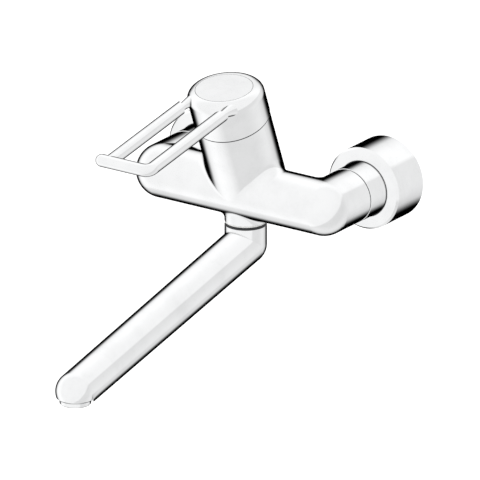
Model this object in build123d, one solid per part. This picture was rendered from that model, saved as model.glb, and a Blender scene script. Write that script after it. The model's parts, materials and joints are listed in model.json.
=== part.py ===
from build123d import *
import os
from math import cos, radians, sin, sqrt, tan

# Wall-mounted kitchen mixer with a long loop lever that can be worked with the elbow.
# Millimetres. +X runs along the wall to the right, +Y into the wall, +Z up. The origin is on
# the wall, midway between the two water inlets.

# General
inlet_spacing = 150.0
wall_reach = 86.8
overrun = 1.0
running_gap = 0.06
loose_gap = 0.3
push_fit = 0.02
seat_gap = 0.1

# Body casting
barrel_radius = 21.6
elbow_round_along = 14.5
elbow_round_back = 9.7
stub_straight = 0.4
stub_edge = 0.4
duct_radius = 17.0
duct_end = 26.0
middle_duct_radius = 9.0
middle_duct_end = 9.0
tail_thread_depth = 9.0

# Tower of the body casting, which leans towards the user
tower_radius = 29.4
tower_lean = 21.5
tower_sink = 0.5
tower_height = 63.4
tower_foot_margin = 1.7
tower_blend = 8.0
seat_height = 17.0
nut_step_height = 43.0
nut_bore_radius = 23.5
cover_bore_height = 55.0
cover_bore_radius = 26.0
inlet_port_radius = 3.2
inlet_port_offset = 12.5
outlet_port_radius = 4.0
outlet_port_offset = 9.0

# Spout collar of the body casting
collar_radius = 16.4
collar_drop = 25.8
collar_blend = 4.5
collar_blend_share = 0.9
set_back_share = 0.5
spout_socket_radius = 10.0
spout_socket_top = 15.0
outlet_duct_radius = 6.0
outlet_duct_top = 12.0

# Cartridge, seated in the tower
cartridge_radius = 20.0
cartridge_gap = 0.2
base_thickness = 5.0
base_radius = 19.8
base_spigot_radius = 18.2
base_spigot_height = 2.0
base_duct_height = 2.6
seal_outer_radius = 5.5
seal_thickness = 1.2
disc_port_offset = 8.0
disc_port_radius = 2.6
fixed_disc_radius = 17.4
fixed_disc_thickness = 3.5
moving_disc_radius = 12.0
moving_disc_thickness = 3.5
pocket_depth = 1.8
pocket_length = 21.4
pocket_width = 5.6
pocket_back = 3.4
pocket_neck_width = 7.0
housing_bore_radius = 18.4
housing_top = 44.0
housing_shoulder = 2.4
housing_neck_radius = 14.5
housing_neck_top = 50.0

# Rotor, which turns in the housing and sets the temperature
pivot_height = 47.6
rotor_skirt_radius = 18.0
rotor_neck_radius = 12.0
rotor_neck_top = 55.6
rotor_slot_width = 9.2
rotor_slot_depth = 15.0
rotor_ring_height = 43.4
rotor_ring_thickness = 1.8
pivot_pin_radius = 2.0
pivot_pin_length = 22.6

# Spindle, which rocks in the rotor and slides the disc
lever_lift = 25.0
spindle_hub_radius = 5.5
spindle_width = 9.0
spindle_depth = 8.0
spindle_top_drop = 6.6
spindle_arm_length = 12.0
spindle_arm_radius = 2.6
spindle_ball_radius = 3.5

# Disc carrier
carrier_plate_thickness = 1.5
carrier_height = 7.5
carrier_width = 18.0
carrier_depth = 20.0
carrier_stud_radius = 1.2
carrier_stud_length = 1.5
carrier_stud_offset = 9.0

# Cartridge nut
cartridge_nut_height = 8.0
cartridge_nut_bore = 15.2
nut_notch_width = 5.0
nut_notch_depth = 3.0

# Domed cover under the lever cap
cover_thickness = 1.6
cover_skirt_length = 6.0
cover_skirt_bore = 24.2
cover_hole_radius = 16.5

# Lever cap
cap_overhang = 0.4
cap_seam = 1.2
seam_depth = 1.0
cap_gap = 0.3
cap_top_height = 45.1
cap_rim_round = 7.2
cap_cavity_radius = 21.0
cap_ceiling = 6.0
boss_radius = 8.0
screw_seat_drop = 5.1
boss_length = 11.0
cover_disc_radius = 22.2
cover_disc_thickness = 2.0
cover_disc_gap = 0.3
lever_screw_radius = 2.4
lever_screw_head_radius = 4.3
lever_screw_head_height = 4.6
lever_screw_thread = 9.0
lever_screw_socket = 2.0
lever_screw_socket_depth = 2.4

# Loop handle and the two horns of the cap that carry it
loop_rise = 12.2
loop_radius = 5.0
loop_spacing = 36.6
loop_height = 39.7
loop_reach = 139.4
loop_bend = 5.3
loop_end_overhang = 6.8
loop_start_circle = 37.4
spigot_radius = 3.2
spigot_length = 12.0
horn_width = 10.4
horn_drop = 16.0
horn_crown = 4.9
loop_screw_radius = 1.5
loop_screw_inset = 6.0
loop_screw_bite = 0.8
loop_screw_sink = 0.4

# Swivel spout
spout_radius = 16.4
spout_tip_radius = 15.4
spout_wall = 2.0
spout_top_drop = 29.2
spout_elbow_drop = 45.4
spout_length = 233.6
spout_slope = 12.6
tip_flat_drop = 5.4
tip_seat_rise = 1.0
tip_edge = 0.5
tip_shoulder = 1.2
tip_dam_length = 17.0
nipple_radius = 9.9
nipple_bore = 6.0
nipple_collar_length = 9.0
nipple_gap_above = 0.3
spout_ring_radius = 1.15
spout_ring_inset = 0.06
spout_ring_groove = 2.5
spout_ring_first = 1.9
spout_ring_second = 9.4
retainer_groove_radius = 8.4
retainer_groove_width = 3.4
retainer_height = 5.7
retainer_radius = 1.5
retainer_recess = 0.6
retainer_socket_radius = 0.8
retainer_socket_depth = 2.0
glide_ring_thickness = 1.1
glide_ring_inset = 0.25
spout_seal_inset = 0.9
spout_seal_bore = 10.4

# Flow straightener at the spout tip
aerator_radius = 12.1
aerator_drop = 9.8
aerator_wall = 1.5
aerator_notch = 1.2
aerator_edge = 0.6
insert_wall = 1.2
insert_rib = 0.8
insert_spacing = 3.6
aerator_washer_thickness = 1.2

# Inlet unions, nuts and roses
tail_radius = 11.8
tail_bore = 8.0
tail_flange_radius = 12.9
tail_flange_thickness = 3.0
tail_thread_radius = 13.0
tail_hex_depth = 6.0
tail_hex_flats = 18.5
inlet_nut_overhang = 0.2
inlet_nut_gap = 0.8
inlet_nut_edge = 0.4
nut_ring_inset = 0.25
inlet_nut_wall = 4.0
inlet_nut_end = 30.0
union_thread_radius = 13.2
union_hex_flats = 30.0
union_hex_end = 22.0
union_shank_radius = 12.0
union_shank_end = 4.0
wall_thread_radius = 10.48
wall_thread_length = 16.0
union_bore = 7.5
inlet_washer_bore = 8.6
inlet_washer_thickness = 2.1
strainer_thickness = 0.8
strainer_radius = 8.4
strainer_hole_radius = 0.7
strainer_hole_pitch = 2.6
rose_radius = 32.7
rose_depth = 34.3
rose_wall = 1.6
rose_chamfer_depth = 1.6
rose_chamfer_width = 1.5
rose_gap = 0.8
rose_collar_depth = 5.0
rose_collar_wall = 3.4
rose_ring_sink = 0.4
rose_ring_lip = 0.8
rose_ring_width = 2.0
rose_ring_grip = 1.2
wall_seal_width = 2.6
wall_seal_depth = 3.0

UP = (Align.CENTER, Align.CENTER, Align.MIN)


# Shapes that repeat

def rod(radius, start, end):
    """A cylinder along local Z from start to end."""
    return Pos(0, 0, start) * Cylinder(radius, end - start, align=UP)


def ring(outer, inner, start, end):
    """A hollow cylinder along local Z."""
    return rod(outer, start, end) - rod(inner, start - overrun, end + overrun)


def block(width, depth, start, end):
    """A box centred on local Z."""
    return Pos(0, 0, start) * Box(width, depth, end - start, align=UP)


def turned(corners):
    """A solid of revolution about local Z from its corners, as (radius, height)."""
    outline = Polyline(*[(radius, 0, height) for radius, height in corners], close=True)
    return revolve(make_face(outline), axis=Axis.Z)


def capsule(start_radius, end_radius, length):
    """A tapered bar along local Z with a ball of its own radius at each end."""
    bend = sqrt(1 / 2)
    outline = [
        ThreePointArc(
            (0, 0, -start_radius), (start_radius * bend, 0, -start_radius * bend), (start_radius, 0, 0)
        ),
        Line((start_radius, 0, 0), (end_radius, 0, length)),
        ThreePointArc(
            (end_radius, 0, length),
            (end_radius * bend, 0, length + end_radius * bend),
            (0, 0, length + end_radius),
        ),
        Line((0, 0, length + end_radius), (0, 0, -start_radius)),
    ]
    return revolve(make_face(outline), axis=Axis.Z)


def round_ring(major, minor, height):
    """An O-ring about local Z."""
    return Pos(0, 0, height) * Torus(major, minor)


def hexagon(flats, start, end):
    """A hexagonal bar along local Z."""
    outline = RegularPolygon(flats / 2, 6, major_radius=False)
    return Pos(0, 0, start) * extrude(outline, end - start)


def place_pair(piece):
    """The same piece at each water inlet, with its own Z along the wall's +Y."""
    return {
        "left": Pos(-inlet_spacing / 2, 0, 0) * Rot(-90, 0, 0) * piece,
        "right": Pos(inlet_spacing / 2, 0, 0) * Rot(-90, 0, 0) * piece,
    }


# Places worked out from the sizes

stub_length = barrel_radius + elbow_round_back + stub_straight
tower_offset = tower_radius - barrel_radius + tower_sink
BARREL = Pos(0, -wall_reach, 0)
spout_set_back = set_back_share * (barrel_radius - collar_radius)
tower_foot_drop = sqrt(barrel_radius**2 - (spout_set_back + collar_radius) ** 2) + tower_foot_margin
TOWER = BARREL * Rot(tower_lean, 0, 0) * Pos(0, tower_offset, 0)
PIVOT = TOWER * Pos(0, 0, pivot_height)
SPINDLE = PIVOT * Rot(lever_lift / 2, 0, 0)
LOOP = PIVOT * Rot(-loop_rise, 0, 0)
SPOUT = Pos(0, -wall_reach + spout_set_back, 0)
SLOPE = SPOUT * Pos(0, 0, -spout_elbow_drop) * Rot(90 + spout_slope, 0, 0)
TIP = SPOUT * Pos(
    0,
    -spout_length * cos(radians(spout_slope)),
    -spout_elbow_drop - spout_length * sin(radians(spout_slope)),
)

base_top = seat_height + base_thickness
disc_seat = base_top + base_spigot_height
disc_face = disc_seat + fixed_disc_thickness
disc_top = disc_face + moving_disc_thickness
disc_travel = 2 * spindle_arm_length * sin(radians(lever_lift / 2))
spindle_length = cap_top_height - spindle_top_drop
screw_seat = cap_top_height - screw_seat_drop
boss_start = screw_seat - boss_length
carrier_top = disc_top + carrier_height
rotor_shoulder = housing_top - housing_shoulder - seat_gap

pivot_depth = tower_height - pivot_height
dome_radius = sqrt(tower_radius**2 + pivot_depth**2)
cap_radius = tower_radius + cap_overhang
cap_inside = dome_radius + cap_gap
cap_bottom = pivot_depth + cap_seam
cap_center_reach = cap_top_height * tan(radians(loop_rise))

collar_bottom = -collar_drop
spout_top = -spout_top_drop
nipple_top = -spout_socket_top - nipple_gap_above
tip_flat = -tip_flat_drop
tip_flat_radius = sqrt(spout_tip_radius**2 - tip_flat_drop**2)
stub_face = stub_length - wall_reach
inlet_nut_radius = barrel_radius + inlet_nut_overhang
inlet_nut_front = stub_face + inlet_nut_gap
tail_flange_face = inlet_nut_front + inlet_nut_wall
washer_face = tail_flange_face + tail_flange_thickness
union_front = washer_face + inlet_washer_thickness


# Body casting

def elbow_corner():
    """The rounded inner corner of an elbow, for a barrel along -X and a stub along +Y.

    Each level of it is the same corner in plan, drawn in towards the elbow's own centre as the
    barrel and the stub grow narrower, so it runs smoothly into both.
    """
    along = barrel_radius + elbow_round_along
    back = barrel_radius + elbow_round_back
    half_turn = sqrt(1 / 2)
    plan = [
        (-along, barrel_radius, 1),
        (-barrel_radius, barrel_radius, half_turn),
        (-barrel_radius, back, 1),
    ]
    faces = []
    for up in (1, -1):
        rise = [(1, 0, 1), (1, up, half_turn), (0, up, 1)]
        points = [[Vector(x * c, y * c, s * barrel_radius) for c, s, _ in rise] for x, y, _ in plan]
        weights = [[w * v for _, _, v in rise] for _, _, w in plan]
        faces.append(Face.make_bezier_surface(points, weights))
    pole = Vector(0, 0, barrel_radius)
    sides = []
    for x, y, _ in (plan[0], plan[2]):
        across = Vector(x, y, 0).cross(Vector(0, 0, 1))
        flat = Plane(origin=(0, 0, 0), z_dir=across)
        edges = [edge for face in faces for edge in face.edges()]
        edges = [edge for edge in edges if abs(flat.to_local_coords(edge @ 0.5).Z) < push_fit]
        sides.append(Face(Wire(edges + [Line(-pole, pole).edge()])))
    return Solid(Shell(faces + sides))


def elbow_room():
    """The space that elbow_corner takes, cleared before it goes in."""
    along = 2 * (barrel_radius + elbow_round_along)
    back = 2 * (barrel_radius + elbow_round_back)
    narrow = 2 * barrel_radius
    outline = Polyline((0, 0), (-along, narrow), (-along, back), (-narrow, back), close=True)
    return Pos(0, 0, -narrow) * extrude(make_face(outline), 2 * narrow)


def make_elbow():
    """Right elbow about its own centre: a ball, a rounded inner corner and the stub."""
    along = barrel_radius + elbow_round_along
    elbow = Rot(0, -90, 0) * rod(barrel_radius, 0, along) + Sphere(barrel_radius)
    elbow += Rot(-90, 0, 0) * rod(barrel_radius, 0, stub_length)
    elbow = elbow - elbow_room() + elbow_corner()
    rim = turned([
        (barrel_radius - stub_edge, stub_length),
        (barrel_radius + overrun, stub_length - stub_edge - overrun),
        (barrel_radius + overrun, stub_length + overrun),
        (barrel_radius - stub_edge, stub_length + overrun),
    ])
    return elbow - Rot(-90, 0, 0) * rim


def make_tower():
    """The leaning tower, with a rounded foot behind the barrel."""
    foot = rod(tower_radius, -tower_foot_drop, tower_height)
    foot = fillet(foot.edges().sort_by(Axis.Z)[0], tower_foot_drop)
    return Rot(tower_lean, 0, 0) * Pos(0, tower_offset, 0) * foot


def make_trunk():
    """The straight barrel with the spout's collar and the tower blended into it."""
    half = inlet_spacing / 2
    along = Rot(tower_lean, 0, 0) * Plane(origin=(0, 0, 0), x_dir=(0, -1, 0), z_dir=(1, 0, 0)).location
    barrel = along * rod(barrel_radius, -half, half)
    collar = Pos(0, spout_set_back, 0) * rod(collar_radius, collar_bottom, 0)
    lower = barrel + collar
    blend = min(collar_blend, collar_blend_share * (barrel_radius - collar_radius))
    lower = fillet(new_edges(barrel, collar, combined=lower), blend)
    tower = make_tower()
    trunk = lower + tower
    return fillet(new_edges(lower, tower, combined=trunk), tower_blend)


def make_body_casting():
    """Barrel, elbows, tower and spout collar in one casting, with its bores."""
    elbow = Pos(inlet_spacing / 2, 0, 0) * make_elbow()
    body = BARREL * (make_trunk() + elbow + mirror(elbow, about=Plane.YZ))
    half = inlet_spacing / 2
    for side in (-1, 1):
        corner = BARREL * Pos(side * half, 0, 0)
        inward = Rot(0, -90 * side, 0)
        body -= corner * Sphere(duct_radius)
        body -= corner * Rot(-90, 0, 0) * rod(duct_radius, 0, stub_length - tail_thread_depth)
        body -= corner * Rot(-90, 0, 0) * rod(tail_thread_radius, 0, stub_length + overrun)
        body -= corner * inward * rod(duct_radius, 0, half - duct_end)
        body -= corner * inward * rod(middle_duct_radius, 0, half - middle_duct_end)
        port = rod(inlet_port_radius, 0, seat_height + overrun)
        body -= TOWER * Pos(side * inlet_port_offset, 0, 0) * port

    body -= TOWER * rod(cartridge_radius + cartridge_gap, seat_height, tower_height + overrun)
    body -= TOWER * rod(nut_bore_radius, nut_step_height, tower_height + overrun)
    body -= TOWER * rod(cover_bore_radius, cover_bore_height, tower_height + overrun)
    outlet = rod(outlet_port_radius, spout_set_back, seat_height + overrun)
    body -= TOWER * Pos(0, -outlet_port_offset, 0) * outlet
    body -= SPOUT * rod(outlet_duct_radius, -spout_socket_top - overrun, outlet_duct_top)
    body -= SPOUT * rod(spout_socket_radius, collar_bottom - overrun, -spout_socket_top)
    body -= SPOUT * Pos(0, 0, collar_bottom + retainer_height) * Rot(-90, 0, 0) * rod(
        retainer_radius + push_fit, 0, collar_radius + overrun
    )
    return body


# Cartridge

def port_places(offset):
    """The two inlet ports at this distance from the tower's axis."""
    return [Pos(-offset, 0, 0), Pos(offset, 0, 0)]


def seal_places():
    """The three ports in the casting's seat: two inlets and the outlet."""
    return port_places(inlet_port_offset) + [Pos(0, -outlet_port_offset, 0)]


def make_cartridge_base():
    """Foot of the cartridge, which leads each port up to the fixed disc."""
    base = rod(base_radius, seat_height, base_top)
    base += rod(base_spigot_radius, base_top, disc_seat)
    seal_top = seat_height + seal_thickness
    for place in seal_places():
        base -= place * rod(seal_outer_radius + push_fit, seat_height - overrun, seal_top)
    duct_floor = base_top - seal_thickness
    for place in port_places(inlet_port_offset):
        base -= place * rod(inlet_port_radius, seat_height, seal_top + base_duct_height)
    for side in (-1, 1):
        middle = side * (inlet_port_offset + disc_port_offset) / 2
        length = inlet_port_offset - disc_port_offset + 2 * disc_port_radius
        slot = extrude(SlotOverall(length, 2 * disc_port_radius), disc_seat - duct_floor)
        base -= Pos(middle, 0, duct_floor) * slot
        port = rod(disc_port_radius, duct_floor, disc_seat + overrun)
        base -= Pos(side * disc_port_offset, 0, 0) * port
    base -= Pos(0, -outlet_port_offset, 0) * rod(outlet_port_radius, seat_height, disc_seat + overrun)
    return TOWER * base


def make_base_seals():
    """Three flat rubber rings between the casting's seat and the cartridge."""
    seal = ring(seal_outer_radius, outlet_port_radius, seat_height, seat_height + seal_thickness)
    return Compound([(TOWER * place * seal).solid() for place in seal_places()])


def make_fixed_disc():
    """Ceramic disc with the hot, cold and outlet ports."""
    disc = rod(fixed_disc_radius, disc_seat, disc_face)
    for place in port_places(disc_port_offset):
        disc -= place * rod(disc_port_radius, disc_seat - overrun, disc_face + overrun)
    outlet = rod(outlet_port_radius, disc_seat - overrun, disc_face + overrun)
    disc -= Pos(0, -outlet_port_offset, 0) * outlet
    return TOWER * disc


def make_moving_disc():
    """Ceramic disc whose pocket opens the ports as it slides forward; shut at rest."""
    disc = rod(moving_disc_radius, disc_face, disc_top)
    below = disc_face - overrun
    pocket_top = disc_face + pocket_depth
    bar = Pos(0, pocket_back, 0) * block(pocket_length, pocket_width, below, pocket_top)
    neck_depth = outlet_port_offset + pocket_back
    neck = Pos(0, pocket_back - neck_depth / 2, 0) * block(pocket_neck_width, neck_depth, below, pocket_top)
    limit = rod(moving_disc_radius - cover_thickness, disc_face - overrun, disc_top)
    disc -= (bar + neck) & limit
    for side in (-1, 1):
        place = Pos(side * carrier_stud_offset, 0, 0)
        hole = rod(carrier_stud_radius + push_fit, disc_top - carrier_stud_length, disc_top + overrun)
        disc -= place * hole
    return TOWER * Pos(0, disc_travel / 2, 0) * disc


def make_disc_carrier():
    """Plastic slide on the moving disc, with the socket for the spindle's ball."""
    carrier = rod(moving_disc_radius, disc_top, disc_top + carrier_plate_thickness)
    carrier += block(carrier_width, carrier_depth, disc_top, carrier_top)
    socket_floor = pivot_height - spindle_arm_length - spindle_ball_radius - running_gap
    carrier -= rod(spindle_ball_radius + running_gap, socket_floor, carrier_top + overrun)
    for side in (-1, 1):
        place = Pos(side * carrier_stud_offset, 0, 0)
        carrier += place * rod(carrier_stud_radius, disc_top - carrier_stud_length + push_fit, disc_top)
    return TOWER * Pos(0, disc_travel / 2, 0) * carrier


def make_cartridge_housing():
    """Cup that holds the discs and guides the rotor."""
    housing = rod(cartridge_radius, base_top, housing_top)
    housing += rod(housing_neck_radius, housing_top, housing_neck_top)
    housing -= rod(housing_bore_radius, base_top - overrun, housing_top - housing_shoulder)
    housing -= rod(rotor_neck_radius + running_gap, base_top, housing_neck_top + overrun)
    return TOWER * housing


def make_rotor():
    """Bell that carries the spindle's pin and guides the disc carrier."""
    rotor = rod(rotor_skirt_radius, disc_face + loose_gap, rotor_shoulder)
    rotor += rod(rotor_neck_radius, rotor_shoulder, rotor_neck_top)
    room = moving_disc_radius + disc_travel / 2 + loose_gap
    rotor -= rod(room, disc_face - overrun, disc_top + carrier_plate_thickness + loose_gap)
    guide_depth = carrier_depth + disc_travel + 2 * loose_gap
    guide_width = carrier_width + 2 * running_gap
    rotor -= block(guide_width, guide_depth, disc_face, carrier_top + loose_gap)
    rotor -= block(rotor_slot_width, rotor_slot_depth, disc_top, rotor_neck_top + overrun)
    groove = ring(
        rotor_neck_radius + overrun,
        rotor_neck_radius - rotor_ring_thickness,
        rotor_ring_height - rotor_ring_thickness / 2 - push_fit,
        rotor_ring_height + rotor_ring_thickness / 2 + push_fit,
    )
    rotor -= groove
    reach = rotor_neck_radius + overrun
    pin_hole = Rot(0, 90, 0) * rod(pivot_pin_radius + push_fit, -reach, reach)
    return TOWER * (rotor - Pos(0, 0, pivot_height) * pin_hole)


def make_rotor_o_ring():
    """O-ring round the rotor's neck."""
    minor = rotor_ring_thickness / 2
    return TOWER * round_ring(rotor_neck_radius - minor, minor, rotor_ring_height)


def make_pivot_pin():
    """Steel pin that the spindle rocks on."""
    return PIVOT * Rot(0, 90, 0) * rod(pivot_pin_radius, -pivot_pin_length / 2, pivot_pin_length / 2)


def make_spindle():
    """Rocking spindle: square shank above its pin, arm and ball below."""
    hub_width = rotor_slot_width - 2 * seat_gap
    hub = Rot(0, 90, 0) * rod(spindle_hub_radius, -hub_width / 2, hub_width / 2)
    spindle = hub + block(spindle_width, spindle_depth, 0, spindle_length)
    spindle += rod(spindle_arm_radius, -spindle_arm_length, 0)
    spindle += Pos(0, 0, -spindle_arm_length) * Sphere(spindle_ball_radius)
    spindle -= Rot(0, 90, 0) * rod(pivot_pin_radius + running_gap, -hub_width, hub_width)
    thread_start = spindle_length - lever_screw_thread
    spindle -= rod(lever_screw_radius + push_fit, thread_start, spindle_length + overrun)
    return SPINDLE * spindle


def make_cartridge_nut():
    """Brass ring nut that holds the cartridge down."""
    top = housing_top + cartridge_nut_height
    nut = ring(nut_bore_radius - push_fit, cartridge_nut_bore, housing_top, top)
    for turn in range(4):
        notch = Pos(nut_bore_radius, 0, 0) * block(
            nut_notch_depth * 2, nut_notch_width, top - nut_notch_depth, top + overrun
        )
        nut -= Rot(0, 0, 90 * turn) * notch
    return TOWER * nut


# Domed cover and lever

def make_dome_cover():
    """Screwed-in dome that the lever cap glides over."""
    inner = dome_radius - cover_thickness
    dome = Sphere(dome_radius) - Sphere(inner)
    dome &= rod(2 * dome_radius, pivot_depth, 2 * dome_radius)
    inner_rise = sqrt(inner**2 - cover_skirt_bore**2)
    skirt_radius = cover_bore_radius - push_fit
    skirt = ring(skirt_radius, cover_skirt_bore, pivot_depth - cover_skirt_length, inner_rise)
    room = rod(2 * dome_radius, -dome_radius, pivot_depth) + Sphere(dome_radius - cover_thickness / 2)
    dome += skirt & room
    dome -= rod(cover_hole_radius, 0, 2 * dome_radius)
    dome -= ring(2 * dome_radius, tower_radius - seam_depth, pivot_depth, cap_bottom)
    return PIVOT * dome


def make_slip_ring():
    """Black slip ring in the groove between the tower and the lever cap."""
    inner = tower_radius - seam_depth + push_fit
    slip_ring = ring(tower_radius, inner, pivot_depth, cap_bottom - push_fit)
    return PIVOT * (slip_ring & Sphere(dome_radius - seat_gap))


def arm_sides():
    """The loop's two arms, as the side and its distance from the middle."""
    return [(side, side * loop_spacing / 2) for side in (-1, 1)]


def horn_section(share, reach):
    """One section of a horn: share is 0 at the loop and 1 at its root in the cap."""
    flare = share**1.5
    half_width = spigot_radius + (horn_width - spigot_radius) * flare
    top = spigot_radius + (horn_crown - spigot_radius) * share
    bottom = spigot_radius + (horn_drop - spigot_radius) * flare
    middle = (top - bottom) / 2
    return Pos(0, -reach, middle) * Rot(90, 0, 0) * Ellipse(half_width, (top + bottom) / 2)


def make_horns():
    """Two flared horns from the cap's front to the arms, each with a plain spigot."""
    outer_side = loop_spacing / 2 + loop_radius
    front = cap_center_reach + sqrt(loop_start_circle**2 - outer_side**2)
    root = cap_center_reach + overrun
    horn_shares = [0, 0.2, 0.42, 0.7, 1]
    horns = []
    for _, x in arm_sides():
        sections = [horn_section(share, front - (front - root) * share) for share in horn_shares]
        horn = loft(sections)
        horn += Rot(90, 0, 0) * rod(spigot_radius, root, spigot_end())
        horns.append(Pos(x, 0, loop_height) * horn - loop_screw_hole(x))
    return horns


def make_lever_cap():
    """Hollow cap with a slanted top and the two horns, carried by the spindle."""
    outside = rod(cap_radius, cap_bottom, 2 * cap_top_height)
    top = Rot(-loop_rise, 0, 0) * block(6 * cap_radius, 6 * cap_radius, cap_top_height, 4 * cap_top_height)
    outside -= top
    rim = outside.edges().sort_by(Axis.Z)[-1]
    outside = fillet(rim, cap_rim_round)
    for horn in make_horns():
        outside += Rot(-loop_rise, 0, 0) * horn
    outside -= Sphere(cap_inside)
    ceiling = Rot(-loop_rise, 0, 0) * block(
        6 * cap_radius, 6 * cap_radius, cap_top_height - cap_ceiling, 4 * cap_top_height
    )
    cavity = rod(cap_cavity_radius, 0, 2 * cap_top_height) - ceiling
    outside -= cavity
    lean = Rot(lever_lift / 2, 0, 0)
    outside += lean * rod(boss_radius, boss_start, 2 * cap_top_height) - top
    outside -= lean * block(
        spindle_width + 2 * running_gap,
        spindle_depth + 2 * running_gap,
        boss_start - overrun,
        spindle_length + push_fit,
    )
    outside -= lean * rod(lever_screw_radius + loose_gap, boss_start, 2 * cap_top_height)
    outside -= lean * rod(lever_screw_head_radius + loose_gap, screw_seat, 2 * cap_top_height)
    seat = Rot(-loop_rise, 0, 0) * Pos(0, -cap_center_reach, 0) * rod(
        cover_disc_radius + cover_disc_gap, cap_top_height - cover_disc_thickness, 2 * cap_top_height
    )
    outside -= seat
    return PIVOT * outside


def make_cover_disc():
    """Flat disc that closes the cap's top and hides the screw."""
    disc = rod(cover_disc_radius, cap_top_height - cover_disc_thickness, cap_top_height)
    return LOOP * Pos(0, -cap_center_reach, 0) * disc


def make_lever_screw():
    """Socket screw that draws the cap down on the spindle."""
    head_top = screw_seat + lever_screw_head_height
    screw = rod(lever_screw_radius, spindle_length - lever_screw_thread + seat_gap, screw_seat)
    screw += rod(lever_screw_head_radius, screw_seat, head_top)
    screw -= hexagon(2 * lever_screw_socket, head_top - lever_screw_socket_depth, head_top + overrun)
    return SPINDLE * screw


def make_lever_loop():
    """The crossbar that the elbow pushes, bent into the right arm, and the left arm on it.

    The crossbar's left end stands out past its arm and is rounded."""
    half = loop_spacing / 2
    end = -half - loop_end_overhang
    path = FilletPolyline(
        (half, -cap_center_reach, loop_height),
        (half, -loop_reach, loop_height),
        (end, -loop_reach, loop_height),
        radius=loop_bend,
    )
    section = Plane(origin=path @ 0, z_dir=path % 0) * Circle(loop_radius)
    loop = sweep(section, path=path)
    loop += Pos(end, -loop_reach, loop_height) * Sphere(loop_radius)
    loop += Pos(-half, 0, loop_height) * Rot(90, 0, 0) * rod(loop_radius, cap_center_reach, loop_reach)
    loop -= Pos(0, -cap_center_reach, 0) * rod(loop_start_circle, 0, 2 * loop_height)
    for side, x in arm_sides():
        bore = Pos(x, 0, loop_height) * Rot(90, 0, 0) * rod(
            spigot_radius + running_gap, cap_center_reach, spigot_end() + overrun
        )
        loop -= bore
        loop -= loop_screw_hole(x)
    return LOOP * loop


def spigot_end():
    """How far ahead of the pivot a horn's spigot ends."""
    ahead = sqrt(loop_start_circle**2 - (loop_spacing / 2) ** 2)
    return cap_center_reach + ahead + spigot_length


def loop_screw(x):
    """One small screw under an arm, from the rod's skin into the spigot."""
    top = loop_height - spigot_radius + loop_screw_bite
    bottom = loop_height - loop_radius + loop_screw_sink
    return Pos(x, -spigot_end() + loop_screw_inset, 0) * rod(loop_screw_radius, bottom, top)


def loop_screw_hole(x):
    """The hole of that screw, open at the underside of the arm."""
    top = loop_height - spigot_radius + loop_screw_bite + push_fit
    bottom = loop_height - loop_radius - overrun
    return Pos(x, -spigot_end() + loop_screw_inset, 0) * rod(loop_screw_radius + push_fit, bottom, top)


def make_loop_screws():
    """The two grub screws that hold the loop on its spigots."""
    return Compound([(LOOP * loop_screw(x)).solid() for _, x in arm_sides()])


# Spout

def make_spout_tube():
    """Bent spout tube with a closed, rounded tip."""
    inside = spout_radius - spout_wall
    tip_inside = spout_tip_radius - spout_wall
    tube = SLOPE * capsule(spout_radius, spout_tip_radius, spout_length)
    tube += SPOUT * rod(spout_radius, -spout_elbow_drop, spout_top)
    edge = tip_flat_radius - tip_edge
    tube -= TIP * turned([
        (0, tip_flat),
        (edge, tip_flat),
        (edge + 2 * tip_edge, tip_flat + 2 * tip_edge),
        (edge + 2 * tip_edge, -2 * spout_tip_radius),
        (0, -2 * spout_tip_radius),
    ])
    hollow = SLOPE * capsule(inside, tip_inside, spout_length)
    hollow += SPOUT * rod(inside, -spout_elbow_drop, spout_top + overrun)
    dam_top = tip_seat_rise + tip_shoulder
    dam = TIP * block(4 * spout_tip_radius, 2 * tip_dam_length, -2 * spout_tip_radius, dam_top)
    tube -= hollow - dam
    tube -= TIP * rod(aerator_radius + push_fit, tip_flat - overrun, tip_seat_rise)
    tube -= TIP * rod(aerator_radius - aerator_wall, tip_flat, dam_top + overrun)
    return tube


def make_spout_nipple():
    """Turned nipple in the top of the spout, which swivels in the body's collar."""
    collar_end = spout_top - nipple_collar_length
    nipple = rod(spout_radius - spout_wall - push_fit, collar_end, spout_top)
    nipple += rod(nipple_radius, spout_top, nipple_top)
    nipple -= rod(nipple_bore, collar_end - overrun, nipple_top + overrun)
    for height in spout_ring_heights():
        nipple -= ring(
            nipple_radius + overrun,
            nipple_radius - 2 * spout_ring_radius,
            height - spout_ring_groove / 2,
            height + spout_ring_groove / 2,
        )
    groove = collar_bottom + retainer_height
    nipple -= ring(
        nipple_radius + overrun,
        retainer_groove_radius,
        groove - retainer_groove_width / 2,
        groove + retainer_groove_width / 2,
    )
    return SPOUT * nipple


def spout_ring_heights():
    """Where the two O-rings sit, below the top of the nipple."""
    return [nipple_top - spout_ring_first, nipple_top - spout_ring_second]


def make_spout_o_rings():
    """The two O-rings of the spout's swivel."""
    major = spout_socket_radius - spout_ring_inset - spout_ring_radius
    rings = [SPOUT * round_ring(major, spout_ring_radius, height) for height in spout_ring_heights()]
    return Compound([o_ring.solid() for o_ring in rings])


def make_spout_glide_ring():
    """Hard ring under the collar, which the spout's seal glides on."""
    radius = collar_radius - glide_ring_inset
    return SPOUT * ring(radius, spout_seal_bore, collar_bottom - glide_ring_thickness, collar_bottom)


def make_spout_seal():
    """Black ring that fills the gap above the spout's top edge."""
    radius = spout_radius - spout_seal_inset
    top = collar_bottom - glide_ring_thickness - push_fit
    return SPOUT * ring(radius, spout_seal_bore, spout_top, top)


def make_spout_retainer():
    """Grub screw at the back of the collar, which keeps the spout in."""
    tip = retainer_groove_radius + seat_gap
    outer = collar_radius - retainer_recess
    screw = rod(retainer_radius, tip, outer)
    screw -= hexagon(2 * retainer_socket_radius, outer - retainer_socket_depth, outer + overrun)
    return SPOUT * Pos(0, 0, collar_bottom + retainer_height) * Rot(-90, 0, 0) * screw


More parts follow.
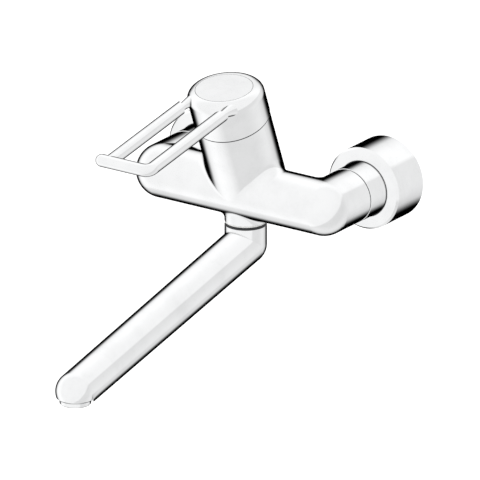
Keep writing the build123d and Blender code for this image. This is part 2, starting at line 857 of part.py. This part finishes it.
def make_aerator_shell():
    """Round shell screwed into the spout's tip, notched for its key."""
    bottom = -aerator_drop
    seat = tip_seat_rise - aerator_washer_thickness
    inner = aerator_radius - aerator_wall
    shell = turned([
        (inner - aerator_wall, bottom),
        (aerator_radius - aerator_edge, bottom),
        (aerator_radius, bottom + aerator_edge),
        (aerator_radius, seat),
        (inner, seat),
        (inner, bottom + aerator_notch),
        (inner - aerator_wall, bottom + aerator_notch),
    ])
    for side in (-1, 1):
        shell -= Pos(side * aerator_radius, 0, 0) * block(
            aerator_wall, aerator_notch, bottom - overrun, bottom + aerator_notch
        )
    return TIP * shell


def make_aerator_insert():
    """Plastic flow straightener: a ring filled with a square grid."""
    bottom = aerator_notch - aerator_drop
    top = tip_seat_rise - aerator_washer_thickness
    outer = aerator_radius - aerator_wall - push_fit
    insert = ring(outer, outer - insert_wall, bottom, top)
    count = int((outer - insert_wall) / insert_spacing)
    for number in range(-count, count + 1):
        offset = number * insert_spacing
        insert += Pos(offset, 0, 0) * block(insert_rib, 2 * outer, bottom, top) & rod(outer, bottom, top)
        insert += Pos(0, offset, 0) * block(2 * outer, insert_rib, bottom, top) & rod(outer, bottom, top)
    return TIP * insert


def make_aerator_washer():
    """Rubber washer above the aerator."""
    bottom = tip_seat_rise - aerator_washer_thickness
    return TIP * ring(aerator_radius - push_fit, aerator_radius - 2 * aerator_wall, bottom, tip_seat_rise)


# Water inlets, each along local Z, which is the wall's +Y

def make_inlet_tail():
    """Flanged tail screwed into the body, which the union nut draws back."""
    inner_end = stub_face - tail_thread_depth
    tail = rod(tail_thread_radius - push_fit, inner_end, stub_face)
    tail += rod(tail_radius, stub_face, washer_face)
    tail += rod(tail_flange_radius, tail_flange_face, washer_face)
    tail -= rod(tail_bore, inner_end - overrun, washer_face + overrun)
    tail -= hexagon(tail_hex_flats, washer_face - tail_hex_depth, washer_face + overrun)
    return tail


def make_inlet_nut():
    """Smooth union nut: a shoulder for the tail's flange and a thread for the union."""
    back = -inlet_nut_end
    bore = tail_radius + loose_gap
    thread = union_thread_radius + push_fit
    return turned([
        (bore, inlet_nut_front),
        (inlet_nut_radius - inlet_nut_edge, inlet_nut_front),
        (inlet_nut_radius, inlet_nut_front + inlet_nut_edge),
        (inlet_nut_radius, back),
        (thread, back),
        (thread, tail_flange_face),
        (bore, tail_flange_face),
    ])


def make_nut_ring():
    """Black slip ring between the elbow's end and the nut."""
    return ring(barrel_radius - nut_ring_inset, tail_radius + loose_gap, stub_face, inlet_nut_front)


def make_inlet_washer():
    """Rubber washer between the tail and the union."""
    return ring(tail_flange_radius, inlet_washer_bore, washer_face, union_front)


def make_inlet_strainer():
    """Perforated steel disc held in the washer."""
    front = union_front - strainer_thickness
    plate = rod(strainer_radius, front, union_front)
    count = int((strainer_radius - strainer_hole_pitch) / strainer_hole_pitch)
    for column in range(-count, count + 1):
        for row in range(-count, count + 1):
            x = column * strainer_hole_pitch
            y = row * strainer_hole_pitch
            if sqrt(x**2 + y**2) < strainer_radius - strainer_hole_pitch / 2:
                plate -= Pos(x, y, 0) * rod(strainer_hole_radius, front - overrun, union_front + overrun)
    return plate


def make_inlet_union():
    """Union with the nut's thread in front, a hexagon and the thread that enters the wall."""
    union = rod(union_thread_radius, union_front, -inlet_nut_end)
    union += hexagon(union_hex_flats, -inlet_nut_end, -union_hex_end)
    union += rod(union_shank_radius, -union_hex_end, -union_shank_end)
    union += rod(wall_thread_radius, -union_shank_end, wall_thread_length)
    union -= rod(union_bore, union_front - overrun, wall_thread_length + overrun)
    return union


def make_rose():
    """Deep round rose: a cup open to the wall, with a collar round the nut."""
    bore = inlet_nut_radius + rose_gap
    front = -rose_depth
    inner = rose_radius - rose_wall
    rose = turned([
        (bore, front),
        (rose_radius - rose_chamfer_width, front),
        (rose_radius, front + rose_chamfer_depth),
        (rose_radius, 0),
        (inner, 0),
        (inner, front + 2 * rose_chamfer_depth),
        (inner - rose_chamfer_width, front + rose_chamfer_depth),
        (bore + rose_collar_wall, front + rose_chamfer_depth),
        (bore + rose_collar_wall, front + rose_collar_depth),
        (bore, front + rose_collar_depth),
    ])
    start = front + rose_ring_sink + rose_ring_lip - push_fit
    return rose - rod(bore + rose_ring_grip, start, start + rose_ring_width + 2 * push_fit)


def make_rose_ring():
    """Rubber ring in the rose's collar, which fills the gap round the nut and grips it."""
    front = rose_ring_sink - rose_depth
    start = front + rose_ring_lip
    outer = inlet_nut_radius + rose_gap - push_fit
    lip = ring(outer, inlet_nut_radius + push_fit, front, start)
    grip = ring(outer + rose_ring_grip, inlet_nut_radius + push_fit, start, start + rose_ring_width)
    return lip + grip


def make_wall_seal():
    """Soft ring inside the rose's back rim."""
    inner = rose_radius - rose_wall
    return ring(inner, inner - wall_seal_width, -wall_seal_depth, 0)


# Every piece by name

pieces = {
    "body_casting": make_body_casting(),
    "dome_cover": make_dome_cover(),
    "slip_ring": make_slip_ring(),
    "cartridge_nut": make_cartridge_nut(),
    "cartridge_housing": make_cartridge_housing(),
    "cartridge_base": make_cartridge_base(),
    "base_seals": make_base_seals(),
    "fixed_disc": make_fixed_disc(),
    "moving_disc": make_moving_disc(),
    "disc_carrier": make_disc_carrier(),
    "rotor": make_rotor(),
    "rotor_o_ring": make_rotor_o_ring(),
    "pivot_pin": make_pivot_pin(),
    "spindle": make_spindle(),
    "lever_cap": make_lever_cap(),
    "cover_disc": make_cover_disc(),
    "lever_screw": make_lever_screw(),
    "lever_loop": make_lever_loop(),
    "loop_screws": make_loop_screws(),
    "spout_tube": make_spout_tube(),
    "spout_nipple": make_spout_nipple(),
    "spout_o_rings": make_spout_o_rings(),
    "spout_glide_ring": make_spout_glide_ring(),
    "spout_seal": make_spout_seal(),
    "spout_retainer": make_spout_retainer(),
    "aerator_shell": make_aerator_shell(),
    "aerator_insert": make_aerator_insert(),
    "aerator_washer": make_aerator_washer(),
}
inlet_pieces = {
    "inlet_tail": make_inlet_tail(),
    "inlet_nut": make_inlet_nut(),
    "nut_ring": make_nut_ring(),
    "inlet_washer": make_inlet_washer(),
    "inlet_strainer": make_inlet_strainer(),
    "inlet_union": make_inlet_union(),
    "rose": make_rose(),
    "rose_ring": make_rose_ring(),
    "wall_seal": make_wall_seal(),
}
for name, piece in inlet_pieces.items():
    for side, placed in place_pair(piece).items():
        pieces[side + "_" + name] = placed

os.makedirs("parts", exist_ok=True)
for name, piece in pieces.items():
    export_step(piece, os.path.join("parts", name + ".step"))
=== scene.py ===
"""Looks of the elbow lever tap: materials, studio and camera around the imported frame."""
import json
import math

import bpy
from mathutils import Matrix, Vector


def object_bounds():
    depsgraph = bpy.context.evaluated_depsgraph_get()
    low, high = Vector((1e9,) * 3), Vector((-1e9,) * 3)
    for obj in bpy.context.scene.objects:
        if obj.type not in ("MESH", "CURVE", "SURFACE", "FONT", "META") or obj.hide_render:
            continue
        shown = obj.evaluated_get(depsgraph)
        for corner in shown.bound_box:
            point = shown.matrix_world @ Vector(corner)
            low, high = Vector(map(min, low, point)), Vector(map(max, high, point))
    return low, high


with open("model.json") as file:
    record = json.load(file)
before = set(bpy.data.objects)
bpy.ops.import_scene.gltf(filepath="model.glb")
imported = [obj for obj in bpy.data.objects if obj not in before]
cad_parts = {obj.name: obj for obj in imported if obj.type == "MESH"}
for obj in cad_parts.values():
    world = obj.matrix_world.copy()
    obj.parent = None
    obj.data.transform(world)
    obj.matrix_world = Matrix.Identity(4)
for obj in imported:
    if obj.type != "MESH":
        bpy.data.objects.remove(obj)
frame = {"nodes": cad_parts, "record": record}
cad_low, cad_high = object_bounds()
nodes = frame["nodes"]

# Camera: the drawing's direction in degrees, its frame in metres, lens and sensor in millimetres
AZIMUTH = 34.72
ELEVATION = 20.2
PICTURE_WIDTH = 0.3690
TARGET = Vector((0.00534, -0.09964, -0.03694))
LENS = 1500.0
SENSOR = 36.0
CLIP_START = 0.1
CLIP_END = 60.0

# Floor and room light
FLOOR_DROP = 0.22
FLOOR_SIZE = 60.0
FLOOR_GRAIN = 3.0
FLOOR_GREYS = ((0.0, 0.80), (1.0, 0.82))
FLOOR_GLOW = 0.45
ROOM_LIGHT = 0.8

# Lamps: name, place, size in metres and power in watts
LAMP_AIM = (0, -0.12, 0)
LAMPS = (
    ("key", (-1.1, -1.5, 1.7), 1.4, 26),
    ("fill", (1.6, -1.0, 0.9), 1.2, 7),
)

# The tent that polished metal mirrors. Seen from the drawing's side, its grey depends on the cosine
# between the metal's surface and TENT_LIGHT: white above TENT_EDGE, pale grey below it, and a deeper
# grey away from the light
TENT_LIGHT = (-0.088, -0.732, 0.676)
TENT_EDGE = 0.377
TENT_SOFT = 0.03
TENT_WHITE = 1.0
TENT_SHADE = 0.79
TENT_DEEP = 0.5
TENT_DEEP_START = -0.1
FACING_AWAY = -1.0
# The lit side starts at this share of its white, which is full at the end cosine
TENT_RISE = 0.97
TENT_RISE_END = 0.95
# The tent's far half is brighter, as the edge tint takes light from slanting reflections
TENT_GLOW = 1.2
TENT_GLOW_START = 0.2
TENT_GLOW_END = -0.5
# The dark screen behind the tap that draws its edges: its grey, and where it ends, in degrees
SCREEN_INNER = 32.0
SCREEN_OUTER = 52.0
SCREEN_GREY = 0.0
# Keeps the root and the division clear of zero where the tent is straight behind the tap
ROOT_MARGIN = 0.0001

# Painted shade in corners and seams, and painted shade inside hollows: the reach in metres, and
# stops of openness and the share of colour that is left
CORNER_SAMPLES = 8
CORNER_SHADE_REACH = 0.0022
CORNER_SHADE_STOPS = ((0.45, 0.06), (0.85, 1.0))
HOLLOW_SHADE_REACH = 0.03
HOLLOW_CHROME_SHADE_STOPS = ((0.1, 0.08), (0.5, 1.0))
HOLLOW_METAL_SHADE_STOPS = ((0.0, 0.25), (0.75, 1.0))

# Chrome: colours, roughness, smudges, dried drops and polishing marks; all scales are per metre
CHROME_LIGHT = (0.93, 0.935, 0.94)
CHROME_DARK = (0.88, 0.885, 0.89)
CHROME_ROUGHNESS = (0.035, 0.11)
# Reflectance at a slanting look, which darkens the metal towards its outline
EDGE_TINT = (0.1, 0.1, 0.1)
SMUDGE_SCALE = 38.0
SMUDGE_STOPS = ((0.42, 0.0), (0.68, 1.0))
DROP_SCALE = 120.0
DROP_RIM_STOPS = ((0.10, 0.0), (0.135, 1.0), (0.17, 0.0))
DROP_PATCH_SCALE = 22.0
DROP_PATCH_STOPS = ((0.58, 0.0), (0.66, 1.0))
DROP_SHARE = 0.7
POLISH_SCALE = 900.0
POLISH_STRETCH = (1, 6, 1)
POLISH_STRENGTH = 0.02
POLISH_DEPTH = 0.0001

# Turned metal
MARKS_SCALE = 700.0
MARKS_STRENGTH = 0.15
MARKS_DEPTH = 0.0001
STAIN_SCALE = 60.0
STAIN_STOPS = ((0.35, 0.0), (0.75, 1.0))
METAL_ROUGHNESS = (0.22, 0.4)

# Plastic, rubber and ceramic
SKIN_SCALE = 900.0
SKIN_STRENGTH = 0.3
SKIN_DEPTH = 0.00008
TONE_SCALE = 90.0
TONE_STOPS = ((0.3, 0.0), (0.72, 1.0))
PLASTIC_ROUGHNESS = (0.45, 0.6)
CERAMIC_ROUGHNESS = (0.12, 0.25)
RUBBER_ROUGHNESS = (0.55, 0.75)

# Pieces of chrome whose open inside gets painted shade
INNER_SHADE_PIECES = ("left_rose", "right_rose")


# Node helpers

def new_material(name):
    """An empty node material with its output."""
    material = bpy.data.materials.new(name)
    material.use_nodes = True
    tree = material.node_tree
    tree.nodes.clear()
    output = tree.nodes.new("ShaderNodeOutputMaterial")
    return material, tree, output


def add(tree, kind, **values):
    """A node with its inputs set by name."""
    node = tree.nodes.new(kind)
    for key, value in values.items():
        node.inputs[key].default_value = value
    return node


def math_node(tree, operation, first, second=None):
    """A Math node on one or two sockets or numbers."""
    node = tree.nodes.new("ShaderNodeMath")
    node.operation = operation
    for socket, value in zip(node.inputs, (first, second)):
        if value is None:
            continue
        if isinstance(value, (int, float)):
            socket.default_value = value
        else:
            tree.links.new(value, socket)
    return node.outputs[0]


def ramp(tree, factor, stops):
    """A ramp through (position, grey) stops."""
    node = tree.nodes.new("ShaderNodeValToRGB")
    tree.links.new(factor, node.inputs[0])
    elements = node.color_ramp.elements
    while len(elements) < len(stops):
        elements.new(0.5)
    for element, (position, grey) in zip(elements, stops):
        element.position = position
        element.color = (grey, grey, grey, 1.0)
    return node.outputs[0]


def span(tree, factor, low, high):
    """A factor from 0 to 1 spread between two numbers."""
    node = add(tree, "ShaderNodeMapRange", **{"To Min": low, "To Max": high})
    tree.links.new(factor, node.inputs["Value"])
    return node.outputs["Result"]


def stepped(tree, value, start, end, low, high):
    """A soft step from low to high as the value goes from start to end."""
    ends = {"From Min": start, "From Max": end, "To Min": low, "To Max": high}
    node = add(tree, "ShaderNodeMapRange", **ends)
    node.interpolation_type = "SMOOTHSTEP"
    tree.links.new(value, node.inputs["Value"])
    return node.outputs["Result"]


def noise(tree, scale, detail=4.0, roughness=0.6, stretch=(1, 1, 1)):
    """Noise in the object's own metres, which may be stretched along an axis."""
    place = tree.nodes.new("ShaderNodeTexCoord")
    mapping = add(tree, "ShaderNodeMapping", Scale=stretch)
    tree.links.new(place.outputs["Object"], mapping.inputs["Vector"])
    node = add(tree, "ShaderNodeTexNoise", Scale=scale, Detail=detail, Roughness=roughness)
    tree.links.new(mapping.outputs[0], node.inputs["Vector"])
    return node.outputs["Fac"]


def bump(tree, height, strength, distance):
    """A bump from a height factor."""
    node = add(tree, "ShaderNodeBump", Strength=strength, Distance=distance)
    tree.links.new(height, node.inputs["Height"])
    return node.outputs[0]


def blend(tree, factor, light, dark):
    """A colour between a light and a dark one, by a factor."""
    mix = tree.nodes.new("ShaderNodeMix")
    mix.data_type = "RGBA"
    mix.inputs["A"].default_value = (*light, 1.0)
    mix.inputs["B"].default_value = (*dark, 1.0)
    tree.links.new(factor, mix.inputs["Factor"])
    return mix.outputs["Result"]


def with_painted_shade(tree, color, reach, stops):
    """A colour with painted shade, darker where surfaces closer than the reach shut it in."""
    corner = add(tree, "ShaderNodeAmbientOcclusion", Distance=reach)
    corner.samples = CORNER_SAMPLES
    mix = tree.nodes.new("ShaderNodeMix")
    mix.data_type = "RGBA"
    mix.blend_type = "MULTIPLY"
    mix.inputs["Factor"].default_value = 1.0
    tree.links.new(color, mix.inputs["A"])
    tree.links.new(ramp(tree, corner.outputs["AO"], stops), mix.inputs["B"])
    return mix.outputs["Result"]


def plug(tree, shader, output, color, roughness, normal):
    """The shader's textured inputs and its way to the output."""
    tree.links.new(color, shader.inputs["Base Color"])
    tree.links.new(roughness, shader.inputs["Roughness"])
    tree.links.new(normal, shader.inputs["Normal"])
    tree.links.new(shader.outputs[0], output.inputs[0])


# Materials

def chrome(name, hollow=False):
    """Polished chrome plating: faint smudges, dried drops, the finest polishing marks and painted
    shade in corners and seams.
    """
    material, tree, output = new_material(name)
    shader = add(tree, "ShaderNodeBsdfPrincipled", Metallic=1.0)
    shader.inputs["Specular Tint"].default_value = (*EDGE_TINT, 1.0)
    smudges = ramp(tree, noise(tree, SMUDGE_SCALE, detail=5.0, roughness=0.65), SMUDGE_STOPS)
    drops = add(tree, "ShaderNodeTexVoronoi", Scale=DROP_SCALE)
    place = tree.nodes.new("ShaderNodeTexCoord")
    tree.links.new(place.outputs["Object"], drops.inputs["Vector"])
    rims = ramp(tree, drops.outputs["Distance"], DROP_RIM_STOPS)
    patches = ramp(tree, noise(tree, DROP_PATCH_SCALE), DROP_PATCH_STOPS)
    spotted = math_node(tree, "MULTIPLY", rims, patches)
    dull = math_node(tree, "MAXIMUM", smudges, math_node(tree, "MULTIPLY", spotted, DROP_SHARE))
    # Painted shade in corners and seams between parts, darker where the surface is shut in
    color = with_painted_shade(tree, blend(tree, dull, CHROME_LIGHT, CHROME_DARK), CORNER_SHADE_REACH, CORNER_SHADE_STOPS)
    if hollow:
        # Painted shade inside the open hollow, darker where the surface is shut in
        color = with_painted_shade(tree, color, HOLLOW_SHADE_REACH, HOLLOW_CHROME_SHADE_STOPS)
    polish = noise(tree, POLISH_SCALE, detail=2.0, stretch=POLISH_STRETCH)
    normal = bump(tree, polish, POLISH_STRENGTH, POLISH_DEPTH)
    plug(tree, shader, output, color, span(tree, dull, *CHROME_ROUGHNESS), normal)
    return material


def turned_metal(name, light, dark):
    """Machined metal with fine tool marks and a slight tarnish, with painted shade in its hollows.
    """
    material, tree, output = new_material(name)
    shader = add(tree, "ShaderNodeBsdfPrincipled", Metallic=1.0)
    marks = noise(tree, MARKS_SCALE, detail=3.0)
    stain = ramp(tree, noise(tree, STAIN_SCALE, detail=5.0), STAIN_STOPS)
    # Painted shade in hollows, darker where the surface is shut in
    color = with_painted_shade(tree, blend(tree, stain, light, dark), HOLLOW_SHADE_REACH, HOLLOW_METAL_SHADE_STOPS)
    normal = bump(tree, marks, MARKS_STRENGTH, MARKS_DEPTH)
    plug(tree, shader, output, color, span(tree, marks, *METAL_ROUGHNESS), normal)
    return material


def moulded(name, light, dark, roughness):
    """Moulded plastic, rubber or pressed ceramic with a fine skin texture."""
    material, tree, output = new_material(name)
    shader = add(tree, "ShaderNodeBsdfPrincipled")
    skin = noise(tree, SKIN_SCALE, detail=3.0)
    tone = ramp(tree, noise(tree, TONE_SCALE), TONE_STOPS)
    normal = bump(tree, skin, SKIN_STRENGTH, SKIN_DEPTH)
    plug(tree, shader, output, blend(tree, tone, light, dark), span(tree, skin, *roughness), normal)
    return material


materials = {
    "chrome": chrome("polished_chrome"),
    "hollow": chrome("chrome_painted_inner_shade", hollow=True),
    "steel": turned_metal("brushed_steel", (0.66, 0.66, 0.67), (0.52, 0.52, 0.53)),
    "brass": turned_metal("machined_brass", (0.80, 0.62, 0.31), (0.62, 0.45, 0.2)),
    "dark_plastic": moulded(
        "dark_plastic", (0.05, 0.05, 0.055), (0.03, 0.03, 0.035), PLASTIC_ROUGHNESS),
    "pale_plastic": moulded(
        "pale_plastic", (0.82, 0.82, 0.80), (0.76, 0.76, 0.74), PLASTIC_ROUGHNESS),
    "ceramic": moulded(
        "ground_ceramic", (0.88, 0.87, 0.83), (0.83, 0.82, 0.78), CERAMIC_ROUGHNESS),
    "rubber": moulded(
        "black_rubber", (0.028, 0.028, 0.03), (0.018, 0.018, 0.02), RUBBER_ROUGHNESS),
}

slot_of = {part["node"]: part["material_slot"] for part in frame["record"]["subparts"]}
for name, node in nodes.items():
    node.data.materials.clear()
    node.data.materials.append(materials["hollow" if name in INNER_SHADE_PIECES else slot_of[name]])
    # The drawing shows plain surfaces, so the pieces are not mirrored in each other
    node.visible_glossy = False


# Studio

def split_by_eye(tree, rays, lighting, shown):
    """One shader that lights the tap, and another that the camera sees."""
    eye_rays = (rays.outputs["Is Camera Ray"], rays.outputs["Is Transmission Ray"])
    mixed = tree.nodes.new("ShaderNodeMixShader")
    tree.links.new(math_node(tree, "MAXIMUM", *eye_rays), mixed.inputs[0])
    tree.links.new(lighting, mixed.inputs[1])
    tree.links.new(shown, mixed.inputs[2])
    return mixed.outputs[0]


def make_floor():
    """A wide pale floor that keeps the object's shadow."""
    material, tree, output = new_material("pale_floor")
    rays = tree.nodes.new("ShaderNodeLightPath")
    plain = tree.nodes.new("ShaderNodeBsdfDiffuse")
    tree.links.new(ramp(tree, noise(tree, FLOOR_GRAIN), FLOOR_GREYS), plain.inputs["Color"])
    glow = add(tree, "ShaderNodeEmission", Strength=FLOOR_GLOW)
    shown = tree.nodes.new("ShaderNodeAddShader")
    tree.links.new(plain.outputs[0], shown.inputs[0])
    tree.links.new(glow.outputs[0], shown.inputs[1])
    floor_shader = split_by_eye(tree, rays, plain.outputs[0], shown.outputs[0])
    tree.links.new(floor_shader, output.inputs[0])
    mesh = bpy.data.meshes.new("floor")
    half = FLOOR_SIZE / 2
    corners = [(-half, -half, 0), (half, -half, 0), (half, half, 0), (-half, half, 0)]
    mesh.from_pydata(corners, [], [(0, 1, 2, 3)])
    mesh.materials.append(material)
    floor = bpy.data.objects.new("floor", mesh)
    middle = (cad_low + cad_high) / 2
    floor.location = (middle.x, middle.y, cad_low.z - FLOOR_DROP)
    floor.visible_glossy = False
    bpy.context.scene.collection.objects.link(floor)


def background(tree, color=None, strength=1.0):
    """A Background shader, white or of a linked grey."""
    node = add(tree, "ShaderNodeBackground", Color=(1, 1, 1, 1), Strength=strength)
    if color is not None:
        tree.links.new(color, node.inputs["Color"])
    return node.outputs[0]


def dotted(tree, direction, fixed):
    """How far a direction agrees with a fixed one."""
    node = tree.nodes.new("ShaderNodeVectorMath")
    node.operation = "DOT_PRODUCT"
    node.inputs[1].default_value = fixed
    tree.links.new(direction, node.inputs[0])
    return node.outputs["Value"]


def view_back():
    """Direction from the object to the drawing's eye."""
    azimuth = math.radians(AZIMUTH)
    elevation = math.radians(ELEVATION)
    return Vector((
        math.sin(azimuth) * math.cos(elevation),
        -math.cos(azimuth) * math.cos(elevation),
        math.sin(elevation),
    ))


def tent_grey(tree):
    """The tent's grey in each direction, with the dark screen behind the tap."""
    direction = tree.nodes.new("ShaderNodeTexCoord").outputs["Generated"]
    eye = view_back()
    light = Vector(TENT_LIGHT).normalized()
    along_eye = dotted(tree, direction, eye)
    # The metal's surface faces halfway between the mirrored direction and the eye
    halfway = math_node(tree, "ADD", dotted(tree, direction, light), eye.dot(light))
    length = math_node(tree, "MULTIPLY", math_node(tree, "ADD", along_eye, 1.0 + ROOT_MARGIN), 2.0)
    facing = math_node(tree, "DIVIDE", halfway, math_node(tree, "SQRT", length))
    edge = (TENT_EDGE - TENT_SOFT, TENT_EDGE + TENT_SOFT)
    tent = stepped(tree, facing, *edge, TENT_SHADE, TENT_WHITE)
    rise = stepped(tree, facing, TENT_EDGE, TENT_RISE_END, TENT_RISE, 1.0)
    rise = math_node(tree, "MAXIMUM", rise, math_node(tree, "LESS_THAN", facing, TENT_EDGE))
    deep = stepped(tree, facing, FACING_AWAY, TENT_DEEP_START, TENT_DEEP, 1.0)
    inner = -math.cos(math.radians(SCREEN_INNER))
    outer = -math.cos(math.radians(SCREEN_OUTER))
    screen = stepped(tree, along_eye, inner, outer, SCREEN_GREY, 1.0)
    glow = stepped(tree, along_eye, TENT_GLOW_START, TENT_GLOW_END, 1.0, TENT_GLOW)
    grey = math_node(tree, "MULTIPLY", tent, deep)
    for share in (screen, rise, glow):
        grey = math_node(tree, "MULTIPLY", grey, share)
    return grey


def make_world():
    """White to the camera, the tent to polished metal, and an even white room to all the rest."""
    world = bpy.data.worlds.new("studio")
    bpy.context.scene.world = world
    world.use_nodes = True
    tree = world.node_tree
    tree.nodes.clear()
    output = tree.nodes.new("ShaderNodeOutputWorld")
    rays = tree.nodes.new("ShaderNodeLightPath")
    lighting = tree.nodes.new("ShaderNodeMixShader")
    tree.links.new(rays.outputs["Is Glossy Ray"], lighting.inputs[0])
    tree.links.new(background(tree, strength=ROOM_LIGHT), lighting.inputs[1])
    tree.links.new(background(tree, tent_grey(tree)), lighting.inputs[2])
    world_shader = split_by_eye(tree, rays, lighting.outputs[0], background(tree))
    tree.links.new(world_shader, output.inputs[0])


def make_lamp(name, place, size, power):
    """A square soft lamp aimed at the tap."""
    data = bpy.data.lights.new(name, "AREA")
    data.shape = "SQUARE"
    data.size = size
    data.energy = power
    lamp = bpy.data.objects.new(name, data)
    lamp.location = place
    lamp.visible_glossy = False
    lamp.rotation_mode = "QUATERNION"
    lamp.rotation_quaternion = (Vector(LAMP_AIM) - Vector(place)).to_track_quat("-Z", "Y")
    bpy.context.scene.collection.objects.link(lamp)


def make_camera():
    """A very long lens from the drawing's direction, which is all but parallel."""
    data = bpy.data.cameras.new("camera")
    data.sensor_width = SENSOR
    data.lens = LENS
    data.clip_start = CLIP_START
    data.clip_end = CLIP_END
    back = view_back()
    camera = bpy.data.objects.new("camera", data)
    camera.location = TARGET + back * (PICTURE_WIDTH / SENSOR * LENS)
    camera.rotation_mode = "QUATERNION"
    camera.rotation_quaternion = (-back).to_track_quat("-Z", "Y")
    bpy.context.scene.collection.objects.link(camera)
    bpy.context.scene.camera = camera


make_floor()
make_world()
for lamp_values in LAMPS:
    make_lamp(*lamp_values)
make_camera()
bpy.context.scene.view_settings.view_transform = "Standard"
